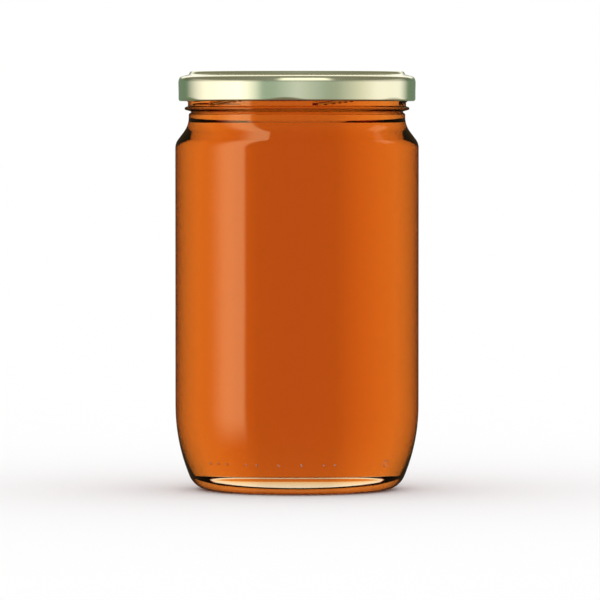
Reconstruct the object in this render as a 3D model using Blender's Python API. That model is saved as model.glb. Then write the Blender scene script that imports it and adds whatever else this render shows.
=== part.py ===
"""A round glass jar full of honey, closed with a six-lug twist-off lid.

Metres, +Z up. The jar's axis is Z, its bearing edge is at z = 0 and its front faces -Y.
An azimuth is in degrees: 0 at the front, growing towards +X.
"""

import math

import bmesh
import bpy

# Jar body and heel, outside
BODY_RADIUS = 0.0443
HEEL_RADIUS = 0.067
HEEL_TOP = 0.0306
HEEL_FILLET = 0.008
BEARING_INNER_RADIUS = 0.0295
PUNT_EDGE_RADIUS = 0.0272
PUNT_EDGE_HEIGHT = 0.0011
PUNT_HEIGHT = 0.0021

# Shoulder and neck, outside
SHOULDER_FOOT = 0.1244
SHOULDER_TURN = 37.0
SHOULDER_CONVEX = 0.0052
SHOULDER_CONCAVE = 0.0087
NECK_RADIUS = 0.0394
NOTCH_HEIGHT = 0.1375
NOTCH_RADIUS = 0.0380
BEAD_HEIGHT = 0.1387
BEAD_RADIUS = 0.0409
BEAD_HALF_THICKNESS = 0.0009
BEAD_FLANK_DEPTH = 0.6
BEAD_FLANK_RISE = 0.7
FINISH_RADIUS = 0.0397
RIM_HEIGHT = 0.1510
RIM_ROUNDING = 0.0011

# Inside of the jar
WALL = 0.0024
BASE_TOP = 0.0070
FLOOR_RISE = 0.0016
INNER_CORNER = 0.005
BORE_RADIUS = 0.0368

# Thread ridges
THREADS = 6
THREAD_START = -51.5
THREAD_SPAN = 56.0
THREAD_STATIONS = 12
THREAD_FOOT_HEIGHT = 0.1406
THREAD_RISE_PER_DEGREE = 0.00009
THREAD_CREST_RADIUS = 0.0408
THREAD_HALF_THICKNESS = 0.0009
THREAD_ROOT_DEPTH = 0.0005
THREAD_TAPER = 11.0
THREAD_END_SHARE = 0.12

# Honey
CLEARANCE = 0.0003
HONEY_LEVEL = 0.1475

# Lid
LID_TOP = 0.1522
LID_SHEET = 0.0005
PANEL_RECESS = 0.00055
PANEL_RADIUS = 0.0356
RING_INNER_RADIUS = 0.0364
RING_OUTER_RADIUS = 0.0385
SHOULDER_STEP_RADIUS = 0.0395
SHOULDER_STEP_HEIGHT = 0.1511
SKIRT_RADIUS = 0.0432
SKIRT_CORNER = 0.0016
SKIRT_CORNER_TURN = 71.0
SKIRT_CORNER_HEIGHT = 0.1487
SKIRT_FOOT_RADIUS = 0.0431
CURL_RADIUS = 0.00075
CURL_HEIGHT = 0.14215
CURL_TURN = -210.0
LUGS = 6
LUG_AZIMUTH = -6.0
LUG_HALF_WIDTH = 14.0
LUG_EASE = 5.0
LUG_TOP = 0.1430
LUG_FADE = 0.0006
LUG_PRESS_OUTSIDE = 0.0006
LUG_PRESS_INSIDE = 0.0004

# Facets
JAR_SEGMENTS = 48
LID_SEGMENTS = 72
MERGE = 0.00001
SHARP_ANGLE = 40.0


def remove_scene_objects():
    """Empty the scene of whatever it starts with."""
    for thing in list(bpy.data.objects):
        bpy.data.objects.remove(thing, do_unlink=True)


def material(name, colour, roughness, metallic=0.0, transmission=0.0, ior=1.5):
    """A Principled material of one colour."""
    made = bpy.data.materials.new(name)
    made.use_nodes = True
    shader = made.node_tree.nodes["Principled BSDF"]
    shader.inputs["Base Color"].default_value = (*colour, 1.0)
    shader.inputs["Roughness"].default_value = roughness
    shader.inputs["Metallic"].default_value = metallic
    shader.inputs["Transmission Weight"].default_value = transmission
    shader.inputs["IOR"].default_value = ior
    return made


def arc(centre, radius, start, end, steps):
    """Points (radius, height) along an arc from one angle in degrees to another, both ends included."""
    points = []
    for step in range(steps + 1):
        angle = math.radians(start + (end - start) * step / steps)
        points.append((centre[0] + radius * math.cos(angle), centre[1] + radius * math.sin(angle)))
    return points


def shoulder_curve(body_radius, neck_radius, convex, concave, steps):
    """The shoulder from the neck down: a concave arc, a straight slope and a convex arc."""
    turn = math.radians(SHOULDER_TURN)
    across = body_radius - neck_radius - (convex + concave) * (1 - math.cos(turn))
    head = SHOULDER_FOOT + (convex + concave) * math.sin(turn) + across / math.tan(turn)
    upper = arc((neck_radius + concave, head), concave, 180, 180 + SHOULDER_TURN, steps)
    lower = arc((body_radius - convex, SHOULDER_FOOT), convex, SHOULDER_TURN, 0, steps)
    return upper + lower


def heel_curve(heel_radius, fillet_radius, floor, steps, fillet_steps):
    """A heel's long arc from the body down, and the fillet that carries it on to a floor."""
    centre_radius = BODY_RADIUS - HEEL_RADIUS
    reach = heel_radius - fillet_radius
    drop = HEEL_TOP - floor - fillet_radius
    turn = -math.degrees(math.asin(drop / reach))
    fillet_centre = (centre_radius + math.sqrt(reach ** 2 - drop ** 2), floor + fillet_radius)
    long_arc = arc((centre_radius, HEEL_TOP), heel_radius, 0, turn, steps)
    fillet = arc(fillet_centre, fillet_radius, turn, -90, fillet_steps)
    return long_arc + fillet[1:]


def inner_wall(gap, steps):
    """The jar's inside from the middle of its raised floor up to the neck, drawn in by a gap."""
    inset = WALL + gap
    heel = heel_curve(HEEL_RADIUS - inset, INNER_CORNER - gap, BASE_TOP + gap, steps, steps - 1)
    shoulder = shoulder_curve(
        BODY_RADIUS - inset, BORE_RADIUS - gap, SHOULDER_CONVEX - inset, SHOULDER_CONCAVE + inset, steps - 1
    )
    middle = [(0.0, BASE_TOP + FLOOR_RISE + gap)]
    return middle + heel[::-1] + shoulder[::-1]


def jar_outline():
    """The glass in section: up the inside, over the rim, down the outside and in under the base."""
    inside = inner_wall(0.0, 4)
    rim_top = RIM_HEIGHT - RIM_ROUNDING
    rim = arc((BORE_RADIUS + RIM_ROUNDING, rim_top), RIM_ROUNDING, 180, 90, 2)
    rim += arc((FINISH_RADIUS - RIM_ROUNDING, rim_top), RIM_ROUNDING, 90, 0, 2)
    flank_radius = FINISH_RADIUS + BEAD_FLANK_DEPTH * (BEAD_RADIUS - FINISH_RADIUS)
    flank_rise = BEAD_FLANK_RISE * BEAD_HALF_THICKNESS
    bead = [
        (FINISH_RADIUS, BEAD_HEIGHT + BEAD_HALF_THICKNESS),
        (flank_radius, BEAD_HEIGHT + flank_rise),
        (BEAD_RADIUS, BEAD_HEIGHT),
        (flank_radius, BEAD_HEIGHT - flank_rise),
        (NOTCH_RADIUS, NOTCH_HEIGHT),
        (NECK_RADIUS, NOTCH_HEIGHT - BEAD_HALF_THICKNESS / 2),
    ]
    shoulder = shoulder_curve(BODY_RADIUS, NECK_RADIUS, SHOULDER_CONVEX, SHOULDER_CONCAVE, 3)
    heel = heel_curve(HEEL_RADIUS, HEEL_FILLET, 0.0, 5, 4)
    under = [
        (BEARING_INNER_RADIUS, 0.0),
        (PUNT_EDGE_RADIUS, PUNT_EDGE_HEIGHT),
        (0.0, PUNT_HEIGHT),
    ]
    return inside + rim + bead + shoulder + heel + under


def honey_outline():
    """The honey in section, from its foot on the axis up to its level surface."""
    level = [(BORE_RADIUS - CLEARANCE, HONEY_LEVEL), (0.0, HONEY_LEVEL)]
    return inner_wall(CLEARANCE, 4) + level


def lid_outline():
    """The lid in section: out over the panel, down the skirt, round the curl and back inside."""
    panel = LID_TOP - PANEL_RECESS
    top = [
        (0.0, panel),
        (PANEL_RADIUS, panel),
        (RING_INNER_RADIUS, LID_TOP),
        (RING_OUTER_RADIUS, LID_TOP),
        (SHOULDER_STEP_RADIUS, SHOULDER_STEP_HEIGHT),
    ]
    corner_centre = (SKIRT_RADIUS - SKIRT_CORNER, SKIRT_CORNER_HEIGHT)
    corner = arc(corner_centre, SKIRT_CORNER, SKIRT_CORNER_TURN, 0, 3)
    curl_centre = (SKIRT_FOOT_RADIUS - CURL_RADIUS, CURL_HEIGHT)
    skirt_foot = [(SKIRT_FOOT_RADIUS, LUG_TOP + LUG_FADE)]
    curl = arc(curl_centre, CURL_RADIUS, 0, CURL_TURN, 5)
    inner_radius = SKIRT_FOOT_RADIUS - LID_SHEET
    inner_corner = arc(corner_centre, SKIRT_CORNER - LID_SHEET, 0, SKIRT_CORNER_TURN, 2)
    inside = [(inner_radius, LUG_TOP + LUG_FADE)] + inner_corner
    under = [
        (SHOULDER_STEP_RADIUS, SHOULDER_STEP_HEIGHT - LID_SHEET),
        (RING_OUTER_RADIUS, LID_TOP - LID_SHEET),
        (RING_INNER_RADIUS, LID_TOP - LID_SHEET),
        (PANEL_RADIUS, panel - LID_SHEET),
        (0.0, panel - LID_SHEET),
    ]
    return top + corner + skirt_foot + curl + inside + under


def turn_solid(name, outline, segments, finish):
    """Turn an outline that starts and ends on the axis into one closed round solid."""
    shape = bmesh.new()
    points = [shape.verts.new((radius, 0.0, height)) for radius, height in outline]
    edges = [shape.edges.new(pair) for pair in zip(points, points[1:])]
    bmesh.ops.spin(
        shape,
        geom=points + edges,
        cent=(0.0, 0.0, 0.0),
        axis=(0.0, 0.0, 1.0),
        angle=math.tau,
        steps=segments,
        use_merge=True,
    )
    bmesh.ops.remove_doubles(shape, verts=shape.verts, dist=MERGE)
    bmesh.ops.recalc_face_normals(shape, faces=shape.faces)
    return finished(name, shape, finish)


def finished(name, shape, finish):
    """Put a bmesh into the scene as a smooth-shaded object with its material."""
    mesh = bpy.data.meshes.new(name)
    shape.to_mesh(mesh)
    shape.free()
    mesh.shade_smooth()
    mesh.set_sharp_from_angle(angle=math.radians(SHARP_ANGLE))
    made = bpy.data.objects.new(name, mesh)
    made.data.materials.append(finish)
    bpy.context.scene.collection.objects.link(made)
    return made


def place(radius, azimuth, height):
    """The point at a radius, an azimuth in degrees and a height."""
    angle = math.radians(azimuth)
    return (radius * math.sin(angle), -radius * math.cos(angle), height)


def thread_section(share):
    """Half an oval that stands out of the neck wall, (radius, height) from below to above."""
    root = FINISH_RADIUS - THREAD_ROOT_DEPTH
    depth = (THREAD_CREST_RADIUS - root) * share
    half = THREAD_HALF_THICKNESS * (1 + share) / 2
    points = []
    for angle in (-90, -45, 0, 45, 90):
        turn = math.radians(angle)
        points.append((root + depth * math.cos(turn), half * math.sin(turn)))
    return points


def add_thread(shape, start):
    """One ridge that climbs to the right from its rounded start and fades out at its far end."""
    rings = []
    for station in range(THREAD_STATIONS + 1):
        turned = THREAD_SPAN * station / THREAD_STATIONS
        nearest_end = min(turned, THREAD_SPAN - turned)
        share = math.sqrt(min(1.0, THREAD_END_SHARE + nearest_end / THREAD_TAPER))
        height = THREAD_FOOT_HEIGHT + THREAD_RISE_PER_DEGREE * turned
        ring = [
            shape.verts.new(place(radius, start + turned, height + offset))
            for radius, offset in thread_section(share)
        ]
        rings.append(ring)
    count = len(rings[0])
    for ring, following in zip(rings, rings[1:]):
        for corner in range(count):
            after = (corner + 1) % count
            shape.faces.new((ring[corner], ring[after], following[after], following[corner]))
    shape.faces.new(rings[0])
    shape.faces.new(rings[-1])


def thread_ridges(finish):
    """All the thread ridges as one guide object, to be fused with the neck."""
    shape = bmesh.new()
    for thread in range(THREADS):
        add_thread(shape, THREAD_START + thread * 360 / THREADS)
    bmesh.ops.recalc_face_normals(shape, faces=shape.faces)
    ridges = finished("thread_ridges", shape, finish)
    ridges.hide_render = True
    ridges.display_type = "WIRE"
    return ridges


def make_jar():
    """The glass, with its thread ridges fused to the neck."""
    glass = material("clear_glass", (0.93, 0.96, 0.94), 0.02, transmission=1.0, ior=1.5)
    jar = turn_solid("glass_jar", jar_outline(), JAR_SEGMENTS, glass)
    ridges = thread_ridges(glass)
    fuse = jar.modifiers.new("threads", "BOOLEAN")
    fuse.operation = "UNION"
    fuse.solver = "EXACT"
    fuse.object = ridges
    return jar


def make_honey():
    """The honey up to its level, just clear of the glass."""
    amber = material("amber_honey", (0.72, 0.27, 0.035), 0.05, transmission=0.6, ior=1.49)
    return turn_solid("honey", honey_outline(), JAR_SEGMENTS, amber)


def lug_share(azimuth):
    """How far the skirt's foot is pressed in at an azimuth: 1 in a lug, 0 between lugs."""
    pitch = 360 / LUGS
    from_middle = abs((azimuth - LUG_AZIMUTH + pitch / 2) % pitch - pitch / 2)
    share = min(1.0, max(0.0, (LUG_HALF_WIDTH - from_middle) / LUG_EASE))
    return share * share * (3 - 2 * share)


def press_lugs(mesh):
    """Press the curl inwards at each lug, deeper outside than inside."""
    curl_inside = SKIRT_FOOT_RADIUS - 2 * CURL_RADIUS
    for vertex in mesh.vertices:
        x, y, z = vertex.co
        radius = math.hypot(x, y)
        if z > LUG_TOP + LUG_FADE / 2 or radius < curl_inside - MERGE:
            continue
        outward = (radius - curl_inside) / (2 * CURL_RADIUS)
        depth = LUG_PRESS_INSIDE + (LUG_PRESS_OUTSIDE - LUG_PRESS_INSIDE) * outward
        azimuth = math.degrees(math.atan2(x, -y))
        pressed = radius - depth * lug_share(azimuth)
        vertex.co.x = x * pressed / radius
        vertex.co.y = y * pressed / radius


def make_lid():
    """The pressed lid: recessed panel, raised sealing ring, skirt, curl and six lugs."""
    gold = material("gold_lacquer", (0.80, 0.78, 0.58), 0.32, metallic=1.0)
    lid = turn_solid("lid", lid_outline(), LID_SEGMENTS, gold)
    press_lugs(lid.data)
    return lid


remove_scene_objects()
make_jar()
make_honey()
make_lid()
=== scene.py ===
import math
import bmesh
import bpy
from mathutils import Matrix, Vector


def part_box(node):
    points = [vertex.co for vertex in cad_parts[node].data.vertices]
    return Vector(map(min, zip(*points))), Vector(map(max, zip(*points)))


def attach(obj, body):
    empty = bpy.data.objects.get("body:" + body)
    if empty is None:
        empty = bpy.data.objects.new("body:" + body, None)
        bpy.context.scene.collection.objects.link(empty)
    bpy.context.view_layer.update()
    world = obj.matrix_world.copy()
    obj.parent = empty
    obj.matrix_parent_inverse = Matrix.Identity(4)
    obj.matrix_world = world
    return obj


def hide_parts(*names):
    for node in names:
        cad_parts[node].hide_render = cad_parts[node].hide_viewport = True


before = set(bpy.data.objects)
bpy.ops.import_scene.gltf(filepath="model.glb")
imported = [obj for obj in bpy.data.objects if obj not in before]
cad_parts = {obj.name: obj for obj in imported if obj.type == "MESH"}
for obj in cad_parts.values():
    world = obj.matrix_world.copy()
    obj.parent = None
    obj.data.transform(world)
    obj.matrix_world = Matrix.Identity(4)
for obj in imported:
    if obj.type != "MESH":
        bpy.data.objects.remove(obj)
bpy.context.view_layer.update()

# Sizes read from the frame
glass_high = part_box("glass_jar")[1]
honey_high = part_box("honey")[1]
lid_low, lid_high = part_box("lid")
BODY_RADIUS = glass_high.x
RIM_HEIGHT = glass_high.z
HONEY_LEVEL = honey_high.z
LID_TOP = lid_high.z
LID_FOOT = lid_low.z
SKIRT_RADIUS = lid_high.x

# Jar body and heel, outside
HEEL_RADIUS = 0.067
HEEL_TOP = 0.0306
HEEL_FILLET = 0.008
BEARING_INNER_RADIUS = 0.0295
BEARING_LAND = 0.0007
BEARING_EDGE = (0.0008, 0.0003)
PUNT_EDGE_RADIUS = 0.0272
PUNT_EDGE_HEIGHT = 0.0011
PUNT_EDGE_TURN = (0.002, 0.0003)
PUNT_HEIGHT = 0.0021

# Shoulder and neck, outside
SHOULDER_FOOT = 0.1244
SHOULDER_TURN = 37.0
SHOULDER_CONVEX = 0.0052
SHOULDER_CONCAVE = 0.0087
NECK_RADIUS = 0.0394
NECK_TOP_DROP = 0.0016
NOTCH_HEIGHT = 0.1375
NOTCH_RADIUS = 0.0380
NOTCH_FILLET = 0.0003
NOTCH_FLARE_DROP = 0.0006
NOTCH_FLARE_FILLET = 0.0008
BEAD_HEIGHT = 0.1387
BEAD_RADIUS = 0.0409
BEAD_HALF_THICKNESS = 0.0009
BEAD_HALF_FLAT = 0.0004
BEAD_FILLET = 0.0005
BEAD_ROOT_FILLET = 0.0002
FINISH_RADIUS = 0.0397
RIM_ROUNDING = 0.0011

# Inside of the jar
WALL = 0.0024
BASE_TOP = 0.0070
FLOOR_RISE = 0.0016
FLOOR_RISE_FOOT = 0.030
INNER_CORNER = 0.005
BORE_RADIUS = 0.0368

# Faces that honey lies against: they face the axis, or face up below a height
WET_INWARD = -0.0005
WET_FACING_UP = 0.1
WET_FLOOR_BELOW = 0.02
WET_MARGIN = 0.0002

# Honey
HONEY_INTO_WALL = 0.00012
HONEY_INTO_BASE = 0.0008
MENISCUS = (0.0006, 0.0003)
HONEY_DIP = 0.0004

# Relief on the glass
THREADS = 6
THREAD_START = -51.5
THREAD_SPAN = 56.0
THREAD_FOOT_HEIGHT = 0.1406
THREAD_RISE_PER_DEGREE = 0.00009
THREAD_REACH = 0.0011
THREAD_HALF_THICKNESS = 0.0009
THREAD_END_THICKNESS = 0.6
THREAD_FULLNESS = 2.5
THREAD_TAPER = 10.0
THREAD_RINGS_TOP = 0.1470
THREAD_RING_SPACING = 0.0003
KNURLS = 75
KNURL_DEPTH = 0.0005
KNURL_MIDDLE_RADIUS = 0.0326
KNURL_HALF_WIDTH = 0.0020
KNURL_FULLNESS = 4.0
DOT_RADIUS = 0.00050
DOT_SUNK = 0.0002
DOT_HEIGHT = 0.0110
DOT_START = -48.8
DOT_PITCH = 5.67
DOTS = (1, 1, 1, 0, 1, 1, 0, 1, 0, 1, 0, 1, 1)
RING_AZIMUTH = 50.5
RING_RADIUS = 0.0012
RING_THICKNESS = 0.00018
RING_STEPS = 28

# Lid
LID_SHEET = 0.0005
PANEL_RECESS = 0.00055
PANEL_RADIUS = 0.0356
PANEL_FILLET = 0.0005
PANEL_INNER_FILLET = 0.0004
RING_INNER_RADIUS = 0.0364
RING_OUTER_RADIUS = 0.0388
RING_INNER_FILLET = 0.0003
SHOULDER_STEP_RADIUS = 0.0394
SHOULDER_STEP_HEIGHT = 0.1511
STEP_FILLET = 0.0003
SKIRT_TOP_HEIGHT = 0.14883
SKIRT_TOP_CURVE = 0.0039
SKIRT_TOP_LEAN = 24.0
SKIRT_CORNER_REACH = 0.0014
SKIRT_CORNER = 0.0014
SKIRT_INNER_CORNER = 0.0009
SKIRT_FOOT_RADIUS = 0.0431
CURL_WIDTH = 0.0015
CURL_HEIGHT = 0.0014
CURL_NECK = (0.0004, 0.0003)
CURL_FILLETS = (0.0004, 0.0006, 0.0008)
SKIRT_FLAT = (0.0010, 0.0034)
SKIRT_RINGS = 12
SKIRT_RING_SPACING = 0.0002
LUGS = 6
LUG_AZIMUTH = -5.5
LUG_HALF_WIDTH = 12.0
LUG_HEIGHT = 0.0016
LUG_FULLNESS = 1.2
LUG_PRESS_OUTSIDE = 0.00036
LUG_PRESS_INSIDE = 0.0004
LUG_BEGINS = -0.01

# Finishes. The glass's colour goes from its own light tint to a painted dark shade between two shares of
# its turn away from the eye, so its edges get a painted dark outline.
GLASS_IOR = 1.5
WETTED_IOR = 1.02
GLASS_LIGHT = (0.985, 1.0, 0.985, 1.0)
GLASS_EDGE_PAINTED_SHADE = (0.14, 0.07, 0.03, 1.0)
GLASS_LIGHT_TO = 0.42
GLASS_PAINTED_SHADE_FROM = 0.86
WAVINESS_SCALE = 55.0
WAVINESS_DEPTH = 0.00003
HONEY_COLOUR = (0.891, 0.560, 0.043, 1.0)
HONEY_DENSITY = 70.0
LACQUER_TONES = ((0.82, 0.81, 0.57), (0.86, 0.85, 0.63))
LACQUER_ROUGHNESS = 0.135
LACQUER_UNEVENNESS = 0.05
LACQUER_CLOUD_SCALE = 90.0
LACQUER_GRAIN_SCALE = 2600.0
LACQUER_GRAIN_DEPTH = 0.0000015

# Studio
MIDDLE_X = 0.00109
CAMERA_HEIGHT = 0.137
CAMERA_DISTANCE = 2.06
AIM_HEIGHT = 0.069
LENS = 339.4
SENSOR_WIDTH = 36.0
VIEW_DEPTH = 20.0
FLOOR_WHITE = (0.9, 0.9, 0.9, 1.0)
FLOOR_ROUGHNESS = 0.8
FLOOR_LIGHT = 1.11
NEAR_FLOOR = 0.30
FAR_FLOOR = 12.0
FLOOR_SIDES = 64
FLOOR_FADE = (0.11, 0.29)
SWEEP = ((0, 1.0), (12, 1.0), (18, 1.17), (23, 1.25), (30, 1.3), (90, 1.3))
ROOM = ((0, (0.07, 0.045, 0.022)), (90, (0.05, 0.03, 0.015)), (180, (0.10, 0.10, 0.10)))
LID_DOME_RADIUS = 1.0
GLASS_DOME_RADIUS = 1.2
DOME_HEIGHT = 0.147

# Light round the lid, as (azimuth, colour). Azimuth 0 is in front of the jar and 180 behind it.
LID_SURROUNDINGS = (
    (-180, (0.30, 0.33, 0.30)),
    (-162, (0.10, 0.20, 0.15)),
    (-133, (0.10, 0.20, 0.15)),
    (-112, (0.90, 0.88, 0.88)),
    (-100, (1.22, 1.18, 1.15)),
    (-56, (1.50, 1.45, 1.40)),
    (-40, (0.80, 0.85, 0.80)),
    (-33, (0.26, 0.38, 0.33)),
    (-21, (0.30, 0.40, 0.35)),
    (0, (0.57, 0.62, 0.60)),
    (28, (0.30, 0.38, 0.33)),
    (38, (0.32, 0.38, 0.33)),
    (65, (0.78, 0.78, 0.70)),
    (83, (1.08, 1.05, 1.05)),
    (117, (1.05, 1.05, 1.05)),
    (135, (0.10, 0.20, 0.15)),
    (162, (0.10, 0.20, 0.15)),
    (180, (0.30, 0.33, 0.30)),
)
LID_OVERHEAD = (0.17, 0.19, 0.16)
LID_BELOW = (0.11, 0.085, 0.05)
LID_BACK_LIGHT = (1.15, 1.15, 1.12)
LID_HIGH_LIGHT = (0.66, 0.65, 0.60)
LID_FRONT_LIGHT = (1.25, 1.25, 1.15)
LID_DIMMED = 0.6

# Where the lid's lights begin and end, in degrees
LID_DIM_ABOVE = (4.0, 12.0)
LID_OVERHEAD_ABOVE = (15.0, 21.0)
LID_BELOW_UNDER = (-45.0, -8.0)
LID_BACK_HEIGHTS = (7.0, 13.0, 62.0, 72.0)
LID_BACK_BEYOND = (146.0, 158.0)
LID_HIGH_ABOVE = (36.0, 58.0)
LID_FRONT_ACROSS = (-22.0, -14.0, 30.0, 38.0)
LID_FRONT_HEIGHTS = (17.0, 22.0, 44.0, 50.0)

# Light round the glass, as (azimuth, share of its brightness)
LEFT_LIGHT = (3.35, 2.65, 1.35)
LEFT_LIGHT_SHARES = (
    (-180, 0.0),
    (-96, 0.0),
    (-88, 0.08),
    (-80, 0.40),
    (-73, 0.80),
    (-66, 1.0),
    (-51, 1.0),
    (-47.5, 0.0),
    (180, 0.0),
)
LEFT_LIGHT_HEIGHTS = (-30.0, -10.0, 72.0, 84.0)
RIGHT_LIGHT = (1.2, 0.95, 0.55)
RIGHT_LIGHT_ACROSS = (92.0, 98.0, 112.0, 120.0)
RIGHT_LIGHT_HEIGHTS = (20.0, 27.0, 38.0, 46.0)
TOP_LIGHT = (1.1, 1.1, 1.1)
TOP_LIGHT_ABOVE = (78.0, 88.0)

# Fineness of the turned pieces and of the light's path
GLASS_SEGMENTS = 504
HONEY_SEGMENTS = 168
LID_SEGMENTS = 360
MERGE = 0.000002
SHARP_ANGLE = 40.0
BOUNCES = 24


def arc(centre, radius, start, end, steps):
    """Points (radius, height) along an arc from one angle in degrees to another, both ends included."""
    points = []
    for step in range(steps + 1):
        angle = math.radians(start + (end - start) * step / steps)
        points.append((centre[0] + radius * math.cos(angle), centre[1] + radius * math.sin(angle)))
    return points


def rounded(corners, steps=4):
    """A polyline of (radius, height, fillet) corners, with an arc at each corner that has a fillet."""
    points = []
    for index, (radius, height, fillet) in enumerate(corners):
        here = Vector((radius, height))
        if not fillet:
            points.append((radius, height))
            continue
        back = (Vector(corners[index - 1][:2]) - here).normalized()
        ahead = (Vector(corners[index + 1][:2]) - here).normalized()
        half = back.angle(ahead) / 2
        centre = here + (back + ahead).normalized() * fillet / math.sin(half)
        start = here + back * fillet / math.tan(half) - centre
        turn = start.angle_signed(here + ahead * fillet / math.tan(half) - centre)
        for step in range(steps + 1):
            angle = math.atan2(start.y, start.x) - turn * step / steps
            points.append((centre.x + fillet * math.cos(angle), centre.y + fillet * math.sin(angle)))
    return points


def shoulder_curve(body_radius, neck_radius, convex, concave, steps):
    """The shoulder from the neck down: a concave arc, a straight slope and a convex arc."""
    turn = math.radians(SHOULDER_TURN)
    across = body_radius - neck_radius - (convex + concave) * (1 - math.cos(turn))
    head = SHOULDER_FOOT + (convex + concave) * math.sin(turn) + across / math.tan(turn)
    upper = arc((neck_radius + concave, head), concave, 180, 180 + SHOULDER_TURN, steps)
    lower = arc((body_radius - convex, SHOULDER_FOOT), convex, SHOULDER_TURN, 0, steps)
    return upper + lower


def heel_curve(heel_radius, fillet_radius, floor, steps, fillet_steps):
    """A heel's long arc from the body down, and the fillet that carries it on to a floor."""
    centre_radius = BODY_RADIUS - HEEL_RADIUS
    reach = heel_radius - fillet_radius
    drop = HEEL_TOP - floor - fillet_radius
    turn = -math.degrees(math.asin(drop / reach))
    fillet_centre = (centre_radius + math.sqrt(reach ** 2 - drop ** 2), floor + fillet_radius)
    long_arc = arc((centre_radius, HEEL_TOP), heel_radius, 0, turn, steps)
    fillet = arc(fillet_centre, fillet_radius, turn, -90, fillet_steps)
    return long_arc + fillet[1:]


def inner_wall(gap, floor, steps):
    """The jar's inside from the middle of its low-domed floor up to the neck, drawn in by a gap."""
    inset = WALL + gap
    dome = []
    for step in range(steps):
        share = step / steps
        dome.append((FLOOR_RISE_FOOT * share, floor + FLOOR_RISE * (1 - share * share)))
    heel = heel_curve(HEEL_RADIUS - inset, INNER_CORNER - gap, floor, steps, steps)
    shoulder = shoulder_curve(
        BODY_RADIUS - inset, BORE_RADIUS - gap, SHOULDER_CONVEX - inset, SHOULDER_CONCAVE + inset, steps
    )
    return dome + heel[::-1] + shoulder[::-1]


def glass_outline():
    """The glass in section: up the inside, over the rim, down the outside and in under the base."""
    rim_top = RIM_HEIGHT - RIM_ROUNDING
    rim = arc((BORE_RADIUS + RIM_ROUNDING, rim_top), RIM_ROUNDING, 180, 90, 5)
    rim += arc((FINISH_RADIUS - RIM_ROUNDING, rim_top), RIM_ROUNDING, 90, 0, 5)
    bead_top = BEAD_HEIGHT + BEAD_HALF_THICKNESS
    rings = int((THREAD_RINGS_TOP - bead_top) / THREAD_RING_SPACING)
    wall = [(FINISH_RADIUS, THREAD_RINGS_TOP - ring * THREAD_RING_SPACING) for ring in range(rings)]
    bead = rounded([
        (FINISH_RADIUS, bead_top + BEAD_ROOT_FILLET, 0.0),
        (FINISH_RADIUS, bead_top, BEAD_ROOT_FILLET),
        (BEAD_RADIUS, BEAD_HEIGHT + BEAD_HALF_FLAT, BEAD_FILLET),
        (BEAD_RADIUS, BEAD_HEIGHT - BEAD_HALF_FLAT, BEAD_FILLET),
        (NOTCH_RADIUS, NOTCH_HEIGHT, NOTCH_FILLET),
        (NECK_RADIUS, NOTCH_HEIGHT - NOTCH_FLARE_DROP, NOTCH_FLARE_FILLET),
        (NECK_RADIUS, NOTCH_HEIGHT - NECK_TOP_DROP, 0.0),
    ])
    shoulder = shoulder_curve(BODY_RADIUS, NECK_RADIUS, SHOULDER_CONVEX, SHOULDER_CONCAVE, 12)
    under = [
        (BEARING_INNER_RADIUS + BEARING_LAND, 0.0),
        (BEARING_INNER_RADIUS, 0.0),
        (BEARING_INNER_RADIUS - BEARING_EDGE[0], BEARING_EDGE[1]),
        (PUNT_EDGE_RADIUS, PUNT_EDGE_HEIGHT),
        (PUNT_EDGE_RADIUS - PUNT_EDGE_TURN[0], PUNT_EDGE_HEIGHT + PUNT_EDGE_TURN[1]),
        (0.0, PUNT_HEIGHT),
    ]
    heel = heel_curve(HEEL_RADIUS, HEEL_FILLET, 0.0, 18, 10)
    return inner_wall(0.0, BASE_TOP, 14) + rim + wall + bead + shoulder + heel + under


def honey_outline():
    """The honey in section, from the middle of its level surface down to its foot on the axis."""
    edge = BORE_RADIUS + HONEY_INTO_WALL
    level = [
        (edge, HONEY_LEVEL),
        (edge - MENISCUS[0], HONEY_LEVEL - MENISCUS[1]),
        (0.0, HONEY_LEVEL - HONEY_DIP),
    ]
    return (inner_wall(-HONEY_INTO_WALL, BASE_TOP - HONEY_INTO_BASE, 16) + level)[::-1]


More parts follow.
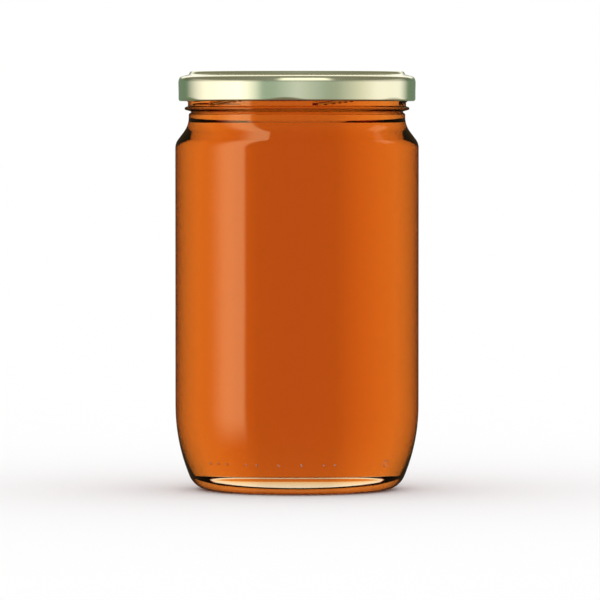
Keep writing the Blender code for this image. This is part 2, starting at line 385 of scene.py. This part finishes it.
def lid_outline():
    """The lid in section: from the middle of its panel over the top, down, round the curl and back."""
    panel = LID_TOP - PANEL_RECESS
    lean = math.tan(math.radians(SKIRT_TOP_LEAN))
    corner_radius = SKIRT_RADIUS - SKIRT_CORNER_REACH * lean
    corner_height = SKIRT_TOP_HEIGHT + SKIRT_CORNER_REACH
    inner_radius = SKIRT_FOOT_RADIUS - LID_SHEET
    ring_inside = RING_OUTER_RADIUS - LID_SHEET / 2
    step_inside = SHOULDER_STEP_RADIUS - LID_SHEET / 2
    curl_inside = SKIRT_FOOT_RADIUS - CURL_WIDTH
    curl_top = LID_FOOT + CURL_HEIGHT
    flat_foot, flat_top = SKIRT_FLAT
    under = rounded([
        (0.0, panel - LID_SHEET, 0.0),
        (PANEL_RADIUS, panel - LID_SHEET, PANEL_INNER_FILLET),
        (RING_INNER_RADIUS, LID_TOP - LID_SHEET, PANEL_INNER_FILLET),
        (ring_inside, LID_TOP - LID_SHEET, RING_INNER_FILLET),
        (step_inside, SHOULDER_STEP_HEIGHT - LID_SHEET, RING_INNER_FILLET),
        (corner_radius - LID_SHEET / 2, corner_height - LID_SHEET, SKIRT_INNER_CORNER),
        (inner_radius, SKIRT_TOP_HEIGHT, SKIRT_INNER_CORNER),
        (inner_radius, curl_top + CURL_NECK[0], CURL_NECK[1]),
        (curl_inside, curl_top, CURL_FILLETS[0]),
        (curl_inside, LID_FOOT, CURL_FILLETS[1]),
        (SKIRT_FOOT_RADIUS, LID_FOOT, CURL_FILLETS[2]),
        (SKIRT_FOOT_RADIUS, LID_FOOT + flat_top, 0.0),
    ], 6)[:-1]
    rings = []
    for ring in range(SKIRT_RINGS):
        rings.append((SKIRT_FOOT_RADIUS, LID_FOOT + flat_foot + SKIRT_RING_SPACING * ring))
    over = rounded([
        (SKIRT_FOOT_RADIUS, LID_FOOT + flat_top, 0.0),
        (SKIRT_RADIUS, SKIRT_TOP_HEIGHT, SKIRT_TOP_CURVE),
        (corner_radius, corner_height, SKIRT_CORNER),
        (SHOULDER_STEP_RADIUS, SHOULDER_STEP_HEIGHT, STEP_FILLET),
        (RING_OUTER_RADIUS, LID_TOP, PANEL_FILLET),
        (RING_INNER_RADIUS, LID_TOP, PANEL_FILLET),
        (PANEL_RADIUS, panel, PANEL_FILLET),
        (0.0, panel, 0.0),
    ], 8)
    return (under + rings + over)[::-1]


class Formula:
    """Writes arithmetic into a node tree: each call adds a Math node and returns its result."""

    def __init__(self, tree):
        self.tree = tree

    def __call__(self, operation, *values):
        made = self.tree.nodes.new("ShaderNodeMath")
        made.operation = operation
        for socket, value in zip(made.inputs, values):
            if isinstance(value, bpy.types.NodeSocket):
                self.tree.links.new(value, socket)
            else:
                socket.default_value = value
        return made.outputs[0]


def new_tree(name, sizes):
    """A geometry tree with one named input for each size, and the node that holds those inputs."""
    tree = bpy.data.node_groups.new(name, "GeometryNodeTree")
    tree.interface.new_socket("Geometry", in_out="INPUT", socket_type="NodeSocketGeometry")
    tree.interface.new_socket("Geometry", in_out="OUTPUT", socket_type="NodeSocketGeometry")
    for size, value in sizes.items():
        kind = "NodeSocketInt" if isinstance(value, int) else "NodeSocketFloat"
        if isinstance(value, bpy.types.Material):
            kind = "NodeSocketMaterial"
        tree.interface.new_socket(size, in_out="INPUT", socket_type=kind)
    return tree, tree.nodes.new("NodeGroupInput")


def add_node(tree, kind, settings=None, **inputs):
    """Adds a node. Settings are its own properties, inputs are sockets by name, as a link or a value."""
    made = tree.nodes.new(kind)
    for name, value in (settings or {}).items():
        setattr(made, name, value)
    for name, value in inputs.items():
        socket = made.inputs[name.replace("_", " ")]
        if isinstance(value, bpy.types.NodeSocket):
            tree.links.new(value, socket)
        else:
            socket.default_value = value
    return made


def turn_outline(tree, given):
    """Turns the outline, which lies in the XY plane as (radius, height), into a round skin about Z."""
    hub = 0.001
    circle = add_node(tree, "GeometryNodeCurvePrimitiveCircle", Radius=hub)
    tree.links.new(given.outputs["Segments"], circle.inputs["Resolution"])
    outline = add_node(tree, "GeometryNodeMeshToCurve", Mesh=given.outputs["Geometry"])
    moved = add_node(
        tree,
        "GeometryNodeTransform",
        Geometry=outline.outputs[0],
        Translation=(-hub, 0.0, 0.0),
        Scale=(1.0, -1.0, 1.0),
    )
    skin = add_node(
        tree, "GeometryNodeCurveToMesh", Curve=circle.outputs[0], Profile_Curve=moved.outputs[0]
    )
    merged = add_node(tree, "GeometryNodeMergeByDistance", Geometry=skin.outputs[0], Distance=MERGE)
    return merged.outputs[0]


def finish_tree(tree, given, geometry, dress=None):
    """Ends a tree: smooth shading, instances made real and the material set."""
    smooth = add_node(tree, "GeometryNodeSetShadeSmooth", Geometry=geometry)
    real = add_node(tree, "GeometryNodeRealizeInstances", Geometry=smooth.outputs[0])
    dressed = add_node(tree, "GeometryNodeSetMaterial", Geometry=real.outputs[0])
    tree.links.new(given.outputs["Finish"], dressed.inputs["Material"])
    result = dressed.outputs[0]
    if dress:
        result = dress(tree, Formula(tree), given, result)
    out = tree.nodes.new("NodeGroupOutput")
    tree.links.new(result, out.inputs[0])


def place_of_point(tree, formula):
    """The position, radius, azimuth in degrees and height of each point, as sockets."""
    position = tree.nodes.new("GeometryNodeInputPosition")
    split = add_node(tree, "ShaderNodeSeparateXYZ", Vector=position.outputs[0])
    x, y, z = split.outputs
    radius = formula("SQRT", formula("ADD", formula("MULTIPLY", x, x), formula("MULTIPLY", y, y)))
    azimuth = formula("DEGREES", formula("ARCTAN2", x, formula("MULTIPLY", y, -1.0)))
    return position.outputs[0], radius, azimuth, z


def move_outward(tree, formula, geometry, position, radius, amount):
    """Moves each point away from the axis by an amount."""
    split = add_node(tree, "ShaderNodeSeparateXYZ", Vector=position)
    share = formula("DIVIDE", amount, formula("MAXIMUM", radius, MERGE))
    offset = add_node(
        tree,
        "ShaderNodeCombineXYZ",
        X=formula("MULTIPLY", split.outputs[0], share),
        Y=formula("MULTIPLY", split.outputs[1], share),
    )
    return add_node(tree, "GeometryNodeSetPosition", Geometry=geometry, Offset=offset.outputs[0]).outputs[0]


def add_threads(tree, formula, given, geometry):
    """Raises the thread ridges on the neck wall: each starts rounded and climbs to the right."""
    position, radius, azimuth, height = place_of_point(tree, formula)
    size = given.outputs
    pitch = formula("DIVIDE", 360.0, size["Threads"])
    along = formula("FLOORED_MODULO", formula("SUBTRACT", azimuth, size["Thread Start"]), pitch)
    left_end = formula("DIVIDE", along, size["Thread Taper"])
    right_end = formula("DIVIDE", formula("SUBTRACT", size["Thread Span"], along), size["Thread Taper"])
    nearest = formula("MAXIMUM", formula("MINIMUM", formula("MINIMUM", left_end, right_end), 1.0), 0.0)
    taper = formula("POWER", nearest, 0.5)
    centre = formula("MULTIPLY_ADD", along, size["Thread Rise"], size["Thread Height"])
    swell = formula("MULTIPLY_ADD", taper, 1.0 - THREAD_END_THICKNESS, THREAD_END_THICKNESS)
    half = formula("MULTIPLY", size["Thread Half Thickness"], swell)
    across = formula("DIVIDE", formula("SUBTRACT", height, centre), half)
    fall = formula("POWER", formula("ABSOLUTE", across), THREAD_FULLNESS)
    ridge = formula("MAXIMUM", formula("SUBTRACT", 1.0, fall), 0.0)
    outside = formula("GREATER_THAN", radius, FINISH_RADIUS - RIM_ROUNDING)
    reach = formula("MULTIPLY", formula("MULTIPLY", ridge, taper), size["Thread Reach"])
    above_bead = formula("GREATER_THAN", height, BEAD_HEIGHT + BEAD_HALF_THICKNESS)
    amount = formula("MULTIPLY", formula("MULTIPLY", reach, outside), above_bead)
    return move_outward(tree, formula, geometry, position, radius, amount)


def add_knurls(tree, formula, given, geometry):
    """Cuts short radial grooves into the bearing ring, so that the ribs between them stand on the floor."""
    _, radius, azimuth, height = place_of_point(tree, formula)
    size = given.outputs
    wave = formula("COSINE", formula("MULTIPLY", formula("RADIANS", azimuth), size["Knurls"]))
    groove = formula("MULTIPLY_ADD", wave, 0.5, 0.5)
    across = formula("DIVIDE", formula("SUBTRACT", radius, KNURL_MIDDLE_RADIUS), KNURL_HALF_WIDTH)
    fall = formula("POWER", formula("ABSOLUTE", across), KNURL_FULLNESS)
    span = formula("MAXIMUM", formula("SUBTRACT", 1.0, fall), 0.0)
    low = formula("LESS_THAN", height, PUNT_EDGE_HEIGHT)
    depth = formula("MULTIPLY", formula("MULTIPLY", groove, span), size["Knurl Depth"])
    offset = add_node(tree, "ShaderNodeCombineXYZ", Z=formula("MULTIPLY", depth, low))
    return add_node(tree, "GeometryNodeSetPosition", Geometry=geometry, Offset=offset.outputs[0]).outputs[0]


def wet_inside(tree, formula, given, geometry):
    """Gives the faces that honey lies against their own finish."""
    position, _, _, height = place_of_point(tree, formula)
    normal = tree.nodes.new("GeometryNodeInputNormal").outputs[0]
    dot = add_node(tree, "ShaderNodeVectorMath", {"operation": "DOT_PRODUCT"})
    flat = add_node(tree, "ShaderNodeVectorMath", {"operation": "MULTIPLY"})
    tree.links.new(position, flat.inputs[0])
    flat.inputs[1].default_value = (1.0, 1.0, 0.0)
    tree.links.new(flat.outputs[0], dot.inputs[0])
    tree.links.new(normal, dot.inputs[1])
    split = add_node(tree, "ShaderNodeSeparateXYZ", Vector=normal)
    inward = formula("LESS_THAN", dot.outputs["Value"], WET_INWARD)
    facing_up = formula("GREATER_THAN", split.outputs[2], WET_FACING_UP)
    on_floor = formula("MULTIPLY", facing_up, formula("LESS_THAN", height, WET_FLOOR_BELOW))
    above_base = formula("GREATER_THAN", height, BASE_TOP - WET_MARGIN)
    wet = formula("MULTIPLY", formula("MAXIMUM", inward, on_floor), above_base)
    chosen = add_node(tree, "GeometryNodeSetMaterial", Geometry=geometry, Selection=wet)
    tree.links.new(given.outputs["Wet Finish"], chosen.inputs["Material"])
    return chosen.outputs[0]


def press_lugs(tree, formula, given, geometry):
    """Presses the foot of the skirt inwards at each lug, in a scoop that is deepest at the bottom edge."""
    position, radius, azimuth, height = place_of_point(tree, formula)
    size = given.outputs
    pitch = formula("DIVIDE", 360.0, size["Lugs"])
    half_pitch = formula("DIVIDE", pitch, 2.0)
    shifted = formula("ADD", formula("SUBTRACT", azimuth, size["Lug Azimuth"]), half_pitch)
    sideways = formula("SUBTRACT", formula("FLOORED_MODULO", shifted, pitch), half_pitch)
    across = formula("DIVIDE", sideways, size["Lug Half Width"])
    up = formula("DIVIDE", formula("SUBTRACT", height, LID_FOOT), size["Lug Height"])
    distance = formula("ADD", formula("MULTIPLY", across, across), formula("MULTIPLY", up, up))
    inside = formula("MAXIMUM", formula("SUBTRACT", 1.0, distance), 0.0)
    scoop = formula("MULTIPLY", formula("POWER", inside, 2.0), LUG_FULLNESS)
    outward = formula("DIVIDE", formula("SUBTRACT", radius, SKIRT_FOOT_RADIUS - CURL_WIDTH), CURL_WIDTH)
    on_curl = formula("GREATER_THAN", outward, LUG_BEGINS)
    depth = formula("MULTIPLY_ADD", outward, LUG_PRESS_OUTSIDE - LUG_PRESS_INSIDE, LUG_PRESS_INSIDE)
    amount = formula("MULTIPLY", formula("MULTIPLY", scoop, depth), formula("MULTIPLY", on_curl, -1.0))
    return move_outward(tree, formula, geometry, position, radius, amount)


def grow(name, points, edges, tree, values):
    """Runs a tree on points and edges and returns its result as a plain mesh object at the origin."""
    mesh = bpy.data.meshes.new(name)
    mesh.from_pydata(points, edges, [])
    made = bpy.data.objects.new(name, mesh)
    bpy.context.scene.collection.objects.link(made)
    modifier = made.modifiers.new("grow", "NODES")
    modifier.node_group = tree
    for item in tree.interface.items_tree:
        if item.in_out == "INPUT" and item.name in values:
            modifier[item.identifier] = values[item.name]
    depsgraph = bpy.context.evaluated_depsgraph_get()
    result = bpy.data.meshes.new_from_object(made.evaluated_get(depsgraph), depsgraph=depsgraph)
    made.modifiers.remove(modifier)
    made.data = result
    bpy.data.meshes.remove(mesh)
    result.name = name
    result.set_sharp_from_angle(angle=math.radians(SHARP_ANGLE))
    return made


def grow_turned(name, outline, tree, values):
    """Runs a tree on an outline of (radius, height) points, laid in the XY plane."""
    edges = [(index, index + 1) for index in range(len(outline) - 1)]
    return grow(name, [(radius, height, 0.0) for radius, height in outline], edges, tree, values)


def new_material(name):
    """A material and its Principled shader."""
    made = bpy.data.materials.new(name)
    made.use_nodes = True
    return made, made.node_tree, made.node_tree.nodes["Principled BSDF"]


def surface_noise(tree, scale, detail):
    """A noise over the piece's own coordinates, as a socket from 0 to 1."""
    place = tree.nodes.new("ShaderNodeTexCoord").outputs["Object"]
    return add_node(tree, "ShaderNodeTexNoise", Vector=place, Scale=scale, Detail=detail).outputs[0]


def add_bump(tree, shader, height, distance):
    """Bends the shader's surface by a height map."""
    bump = add_node(tree, "ShaderNodeBump", Height=height, Distance=distance, Strength=1.0)
    tree.links.new(bump.outputs[0], shader.inputs["Normal"])


def clear_glass():
    """Clear container glass with a trace of green, a painted dark shade at its edges and a faint moulded
    waviness.
    """
    made, tree, shader = new_material("clear_glass")
    # Painted shade: the base colour turns dark brown where the surface turns away from the eye, which
    # darkens every edge and outline of the glass.
    edge = add_node(tree, "ShaderNodeLayerWeight", Blend=0.5)
    shade = add_node(tree, "ShaderNodeValToRGB", Fac=edge.outputs["Facing"])
    light, painted_shade = shade.color_ramp.elements
    light.position, light.color = GLASS_LIGHT_TO, GLASS_LIGHT
    painted_shade.position, painted_shade.color = GLASS_PAINTED_SHADE_FROM, GLASS_EDGE_PAINTED_SHADE
    tree.links.new(shade.outputs[0], shader.inputs["Base Color"])
    add_bump(tree, shader, surface_noise(tree, WAVINESS_SCALE, 1.0), WAVINESS_DEPTH)
    shader.inputs["Roughness"].default_value = 0.0
    shader.inputs["IOR"].default_value = GLASS_IOR
    shader.inputs["Transmission Weight"].default_value = 1.0
    return made


def wetted_glass():
    """The same glass where honey lies against it, so that it hardly reflects."""
    made, _, shader = new_material("wetted_glass")
    shader.inputs["Base Color"].default_value = GLASS_LIGHT
    shader.inputs["Roughness"].default_value = 0.0
    shader.inputs["IOR"].default_value = WETTED_IOR
    shader.inputs["Transmission Weight"].default_value = 1.0
    return made


def amber_honey():
    """Clear honey: it absorbs blue first, then green, along the light's way through it."""
    made, tree, shader = new_material("amber_honey")
    shader.inputs["Base Color"].default_value = (1.0, 1.0, 1.0, 1.0)
    shader.inputs["Roughness"].default_value = 0.0
    shader.inputs["IOR"].default_value = 1.0
    shader.inputs["Transmission Weight"].default_value = 1.0
    absorption = tree.nodes.new("ShaderNodeVolumeAbsorption")
    absorption.inputs["Color"].default_value = HONEY_COLOUR
    absorption.inputs["Density"].default_value = HONEY_DENSITY
    output = tree.nodes["Material Output"]
    tree.links.new(absorption.outputs[0], output.inputs["Volume"])
    return made


def gold_lacquer():
    """Satin pale gold lacquer on tinplate, a little uneven in tone and grain."""
    made, tree, shader = new_material("gold_lacquer")
    formula = Formula(tree)
    tone = surface_noise(tree, LACQUER_CLOUD_SCALE, 3.0)
    grain = surface_noise(tree, LACQUER_GRAIN_SCALE, 4.0)
    colour = choose(tree, tone, *LACQUER_TONES)
    roughness = formula("MULTIPLY_ADD", grain, LACQUER_UNEVENNESS, LACQUER_ROUGHNESS)
    tree.links.new(colour, shader.inputs["Base Color"])
    shader.inputs["Metallic"].default_value = 1.0
    tree.links.new(roughness, shader.inputs["Roughness"])
    add_bump(tree, shader, grain, LACQUER_GRAIN_DEPTH)
    return made


def make_glass(finish):
    """The jar's glass with its threads and knurled bearing ring."""
    values = {
        "Segments": GLASS_SEGMENTS,
        "Threads": float(THREADS),
        "Thread Start": THREAD_START,
        "Thread Span": THREAD_SPAN,
        "Thread Height": THREAD_FOOT_HEIGHT,
        "Thread Rise": THREAD_RISE_PER_DEGREE,
        "Thread Reach": THREAD_REACH,
        "Thread Half Thickness": THREAD_HALF_THICKNESS,
        "Thread Taper": THREAD_TAPER,
        "Knurls": float(KNURLS),
        "Knurl Depth": KNURL_DEPTH,
        "Finish": finish,
        "Wet Finish": wetted_glass(),
    }
    tree, given = new_tree("turned_glass", values)
    formula = Formula(tree)
    skin = turn_outline(tree, given)
    threaded = add_threads(tree, formula, given, skin)
    knurled = add_knurls(tree, formula, given, threaded)
    finish_tree(tree, given, knurled, wet_inside)
    return grow_turned("jar_glass", glass_outline(), tree, values)


def heel_place(azimuth, height, depth):
    """A point on the outside of the heel, sunk by a depth, and the surface's outward direction there."""
    drop = HEEL_TOP - height
    centre_radius = BODY_RADIUS - HEEL_RADIUS
    level = math.sqrt(HEEL_RADIUS ** 2 - drop ** 2)
    angle = math.radians(azimuth)
    outward = Vector((level * math.sin(angle), -level * math.cos(angle), -drop)) / HEEL_RADIUS
    radius = centre_radius + level
    place = Vector((radius * math.sin(angle), -radius * math.cos(angle), height))
    return place - outward * depth, outward


def make_mould_dots(finish):
    """The row of small raised dots that the mould leaves on the heel."""
    marked = [index for index, dot in enumerate(DOTS) if dot]
    points = [heel_place(DOT_START + DOT_PITCH * index, DOT_HEIGHT, DOT_SUNK)[0] for index in marked]
    values = {"Dot Radius": DOT_RADIUS, "Finish": finish}
    tree, given = new_tree("raised_dots", values)
    dot = add_node(tree, "GeometryNodeMeshIcoSphere", Radius=given.outputs["Dot Radius"], Subdivisions=3)
    places = add_node(tree, "GeometryNodeMeshToPoints", Mesh=given.outputs["Geometry"])
    copies = add_node(
        tree, "GeometryNodeInstanceOnPoints", Points=places.outputs[0], Instance=dot.outputs[0]
    )
    finish_tree(tree, given, copies.outputs[0])
    return grow("mould_dots", points, [], tree, values)


def make_mould_ring(finish):
    """A small plain raised ring on the heel, at the right of the dots."""
    centre, outward = heel_place(RING_AZIMUTH, DOT_HEIGHT, 0.0)
    turned = outward.to_track_quat("Z", "Y")
    points = []
    for step in range(RING_STEPS):
        angle = 2 * math.pi * step / RING_STEPS
        flat = Vector((RING_RADIUS * math.cos(angle), RING_RADIUS * math.sin(angle), 0.0))
        points.append(centre + turned @ flat)
    edges = [(step, (step + 1) % RING_STEPS) for step in range(RING_STEPS)]
    values = {"Ring Thickness": RING_THICKNESS, "Finish": finish}
    tree, given = new_tree("raised_ring", values)
    path = add_node(tree, "GeometryNodeMeshToCurve", Mesh=given.outputs["Geometry"])
    section = add_node(
        tree, "GeometryNodeCurvePrimitiveCircle", Radius=given.outputs["Ring Thickness"], Resolution=10
    )
    tube = add_node(
        tree, "GeometryNodeCurveToMesh", Curve=path.outputs[0], Profile_Curve=section.outputs[0]
    )
    finish_tree(tree, given, tube.outputs[0])
    return grow("mould_ring", points, edges, tree, values)


def make_honey():
    """The honey, a little into the wall all round."""
    values = {"Segments": HONEY_SEGMENTS, "Finish": amber_honey()}
    tree, given = new_tree("turned_honey", values)
    finish_tree(tree, given, turn_outline(tree, given))
    return grow_turned("jar_honey", honey_outline(), tree, values)


def make_lid():
    """The pressed lid with its curl and six lugs."""
    values = {
        "Segments": LID_SEGMENTS,
        "Lugs": float(LUGS),
        "Lug Azimuth": LUG_AZIMUTH,
        "Lug Half Width": LUG_HALF_WIDTH,
        "Lug Height": LUG_HEIGHT,
        "Finish": gold_lacquer(),
    }
    tree, given = new_tree("turned_lid", values)
    skin = turn_outline(tree, given)
    finish_tree(tree, given, press_lugs(tree, Formula(tree), given, skin))
    return grow_turned("twist_lid", lid_outline(), tree, values)


def grey(level):
    """A neutral colour of one level."""
    return (level, level, level)


def ramp(tree, value, stops):
    """A colour ramp over degrees from 0 to 180, with (degrees, colour) stops."""
    made = add_node(tree, "ShaderNodeValToRGB", Fac=Formula(tree)("DIVIDE", value, 180.0))
    elements = made.color_ramp.elements
    while len(elements) < len(stops):
        elements.new(0.5)
    for element, stop in zip(elements, stops):
        element.position = stop[0] / 180.0
    for element, stop in zip(elements, stops):
        element.color = (*stop[1], 1.0)
    return made.outputs[0]


def choose(tree, share, off, on):
    """One colour where the share is 0, another where it is 1. Colours are tuples or sockets."""
    made = add_node(tree, "ShaderNodeMix", {"data_type": "RGBA"})
    tree.links.new(share, made.inputs["Factor"])
    sockets = [socket for socket in made.inputs if socket.type == "RGBA"]
    for socket, colour in zip(sockets, (off, on)):
        if isinstance(colour, bpy.types.NodeSocket):
            tree.links.new(colour, socket)
        else:
            socket.default_value = (*colour, 1.0)
    return [socket for socket in made.outputs if socket.type == "RGBA"][0]


def make_world():
    """Pale surroundings: a bright sweep seen through the jar, and a darker room seen in its gloss."""
    world = bpy.data.worlds.new("studio")
    world.use_nodes = True
    world.cycles.sampling_method = "NONE"
    bpy.context.scene.world = world
    tree = world.node_tree
    formula = Formula(tree)
    direction = tree.nodes.new("ShaderNodeTexCoord").outputs["Generated"]
    split = add_node(tree, "ShaderNodeSeparateXYZ", Vector=direction)
    x, y = split.outputs[:2]
    from_back = formula("DEGREES", formula("ARCTAN2", formula("ABSOLUTE", x), y))
    off_axis = formula("MINIMUM", from_back, formula("SUBTRACT", 180.0, from_back))
    through = ramp(tree, off_axis, [(degrees, grey(level)) for degrees, level in SWEEP])
    gloss = ramp(tree, from_back, ROOM)
    path = tree.nodes.new("ShaderNodeLightPath").outputs
    colour = choose(tree, path["Is Glossy Ray"], grey(FLOOR_LIGHT), gloss)
    colour = choose(tree, path["Is Transmission Ray"], colour, through)
    colour = choose(tree, path["Is Camera Ray"], colour, grey(1.0))
    tree.links.new(colour, tree.nodes["Background"].inputs["Color"])


def soft_step(tree, value, low, high):
    """0 below the low value, 1 above the high one, and a smooth rise between them."""
    settings = {"interpolation_type": "SMOOTHSTEP"}
    made = add_node(tree, "ShaderNodeMapRange", settings, Value=value, From_Min=low, From_Max=high)
    return made.outputs[0]


def window(tree, value, outer_low, low, high, outer_high):
    """1 between the low and the high value, with a soft edge out to the outer ones."""
    formula = Formula(tree)
    leaves = formula("SUBTRACT", 1.0, soft_step(tree, value, high, outer_high))
    return formula("MULTIPLY", soft_step(tree, value, outer_low, low), leaves)


def all_round(tree, azimuth, stops):
    """A colour ramp over azimuths from -180 to 180, with (azimuth, colour) stops."""
    half = Formula(tree)("MULTIPLY_ADD", azimuth, 0.5, 90.0)
    return ramp(tree, half, [(stop / 2 + 90, colour) for stop, colour in stops])


def make_dome(name, radius, receiver, paint):
    """A large dome of light round the jar that only the reflections of one piece see."""
    mesh = bpy.data.meshes.new(name)
    shape = bmesh.new()
    bmesh.ops.create_uvsphere(shape, u_segments=64, v_segments=32, radius=radius)
    shape.to_mesh(mesh)
    shape.free()
    mesh.shade_smooth()
    dome = bpy.data.objects.new(name, mesh)
    dome.location.z = DOME_HEIGHT
    bpy.context.scene.collection.objects.link(dome)
    made = bpy.data.materials.new(name)
    made.use_nodes = True
    made.cycles.emission_sampling = "NONE"
    tree = made.node_tree
    tree.nodes.clear()
    formula = Formula(tree)
    place = tree.nodes.new("ShaderNodeTexCoord").outputs["Object"]
    direction = add_node(tree, "ShaderNodeVectorMath", {"operation": "NORMALIZE"})
    tree.links.new(place, direction.inputs[0])
    split = add_node(tree, "ShaderNodeSeparateXYZ", Vector=direction.outputs[0])
    azimuth = formula("ARCTAN2", split.outputs[0], formula("MULTIPLY", split.outputs[1], -1.0))
    elevation = formula("ARCSINE", split.outputs[2])
    colour = paint(tree, formula("DEGREES", azimuth), formula("DEGREES", elevation))
    glow = add_node(tree, "ShaderNodeEmission", Color=colour)
    clear = tree.nodes.new("ShaderNodeBsdfTransparent")
    both = tree.nodes.new("ShaderNodeAddShader")
    output = tree.nodes.new("ShaderNodeOutputMaterial")
    tree.links.new(glow.outputs[0], both.inputs[0])
    tree.links.new(clear.outputs[0], both.inputs[1])
    tree.links.new(both.outputs[0], output.inputs["Surface"])
    mesh.materials.append(made)
    receivers = bpy.data.collections.new(name + "_receivers")
    receivers.objects.link(receiver)
    dome.light_linking.receiver_collection = receivers
    show_in_gloss_only(dome)


def paint_lid_light(tree, azimuth, elevation):
    """What the lid mirrors: side lights that dim higher up, one above the back and one in front."""
    formula = Formula(tree)
    turned = formula("ABSOLUTE", azimuth)
    colour = all_round(tree, azimuth, LID_SURROUNDINGS)
    dimmed = add_node(tree, "ShaderNodeVectorMath", {"operation": "SCALE"}, Scale=LID_DIMMED)
    tree.links.new(colour, dimmed.inputs[0])
    colour = choose(tree, soft_step(tree, elevation, *LID_DIM_ABOVE), colour, dimmed.outputs[0])
    colour = choose(tree, soft_step(tree, elevation, *LID_OVERHEAD_ABOVE), colour, LID_OVERHEAD)
    above_back = window(tree, elevation, *LID_BACK_HEIGHTS)
    in_back = soft_step(tree, turned, *LID_BACK_BEYOND)
    high = soft_step(tree, elevation, *LID_HIGH_ABOVE)
    back_light = choose(tree, high, LID_BACK_LIGHT, LID_HIGH_LIGHT)
    colour = choose(tree, formula("MULTIPLY", above_back, in_back), colour, back_light)
    in_front = window(tree, azimuth, *LID_FRONT_ACROSS)
    above_front = window(tree, elevation, *LID_FRONT_HEIGHTS)
    colour = choose(tree, formula("MULTIPLY", in_front, above_front), colour, LID_FRONT_LIGHT)
    return choose(tree, soft_step(tree, elevation, *LID_BELOW_UNDER), LID_BELOW, colour)


def paint_glass_light(tree, azimuth, elevation):
    """What the glass mirrors: a tall warm light at its left, a small one at its right and a top light."""
    formula = Formula(tree)
    left = all_round(tree, azimuth, [(stop, grey(share)) for stop, share in LEFT_LIGHT_SHARES])
    tall = window(tree, elevation, *LEFT_LIGHT_HEIGHTS)
    colour = choose(tree, formula("MULTIPLY", left, tall), grey(0.0), LEFT_LIGHT)
    in_right = window(tree, azimuth, *RIGHT_LIGHT_ACROSS)
    above_right = window(tree, elevation, *RIGHT_LIGHT_HEIGHTS)
    colour = choose(tree, formula("MULTIPLY", in_right, above_right), colour, RIGHT_LIGHT)
    return choose(tree, soft_step(tree, elevation, *TOP_LIGHT_ABOVE), colour, TOP_LIGHT)


def show_in_gloss_only(card):
    """Hides a stage light from everything but reflections."""
    card.visible_camera = False
    card.visible_diffuse = False
    card.visible_transmission = False
    card.visible_shadow = False


def make_floor(name, inner, outer, finish):
    """A flat ring to stand on, or a disc where there is no inner radius."""
    count = FLOOR_SIDES
    mesh = bpy.data.meshes.new(name)
    points = []
    for radius in (inner, outer):
        for index in range(count):
            angle = 2 * math.pi * index / count
            points.append((radius * math.cos(angle), radius * math.sin(angle), 0.0))
    if inner:
        faces = [(n, n + count, (n + 1) % count + count, (n + 1) % count) for n in range(count)]
        mesh.from_pydata(points, [], faces)
    else:
        mesh.from_pydata(points[count:], [], [tuple(range(count))])
    mesh.materials.append(finish)
    made = bpy.data.objects.new(name, mesh)
    bpy.context.scene.collection.objects.link(made)
    return made


def pale_floor(name, fades):
    """A matt white floor. One that fades is gone at its edge for what is seen through the jar."""
    made, tree, shader = new_material(name)
    shader.inputs["Base Color"].default_value = FLOOR_WHITE
    shader.inputs["Roughness"].default_value = FLOOR_ROUGHNESS
    shader.inputs["Specular IOR Level"].default_value = 0.0
    if fades:
        formula = Formula(tree)
        place = tree.nodes.new("ShaderNodeTexCoord").outputs["Object"]
        length = add_node(tree, "ShaderNodeVectorMath", {"operation": "LENGTH"})
        tree.links.new(place, length.inputs[0])
        far_out = soft_step(tree, length.outputs["Value"], *FLOOR_FADE)
        through = tree.nodes.new("ShaderNodeLightPath").outputs["Is Transmission Ray"]
        gone = formula("MULTIPLY", far_out, through)
        tree.links.new(formula("SUBTRACT", 1.0, gone), shader.inputs["Alpha"])
    return made


def make_studio():
    """Floor, surroundings and camera."""
    near = make_floor("floor", 0.0, NEAR_FLOOR, pale_floor("near_floor", True))
    near.visible_glossy = False
    far = make_floor("far_floor", NEAR_FLOOR, FAR_FLOOR, pale_floor("far_floor", False))
    far.visible_glossy = False
    far.visible_transmission = False

    make_world()
    camera_data = bpy.data.cameras.new("camera")
    camera_data.lens = LENS
    camera_data.sensor_width = SENSOR_WIDTH
    camera_data.clip_end = VIEW_DEPTH
    camera = bpy.data.objects.new("camera", camera_data)
    bpy.context.scene.collection.objects.link(camera)
    camera.location = (MIDDLE_X, -CAMERA_DISTANCE, CAMERA_HEIGHT)
    pitch = math.atan((CAMERA_HEIGHT - AIM_HEIGHT) / CAMERA_DISTANCE)
    camera.rotation_euler = (math.pi / 2 - pitch, 0.0, 0.0)
    bpy.context.scene.camera = camera


glass_finish = clear_glass()
glass = make_glass(glass_finish)
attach(glass, "root")
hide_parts("glass_jar")

for mark in (make_mould_dots(glass_finish), make_mould_ring(glass_finish)):
    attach(mark, "root")

honey = make_honey()
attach(honey, "root")
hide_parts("honey")

lid = make_lid()
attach(lid, "root")
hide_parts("lid")

make_studio()
make_dome("lid_light", LID_DOME_RADIUS, lid, paint_lid_light)
make_dome("glass_light", GLASS_DOME_RADIUS, glass, paint_glass_light)
bpy.context.scene.view_settings.view_transform = "Standard"
bpy.context.scene.cycles.max_bounces = BOUNCES
bpy.context.scene.cycles.transmission_bounces = BOUNCES
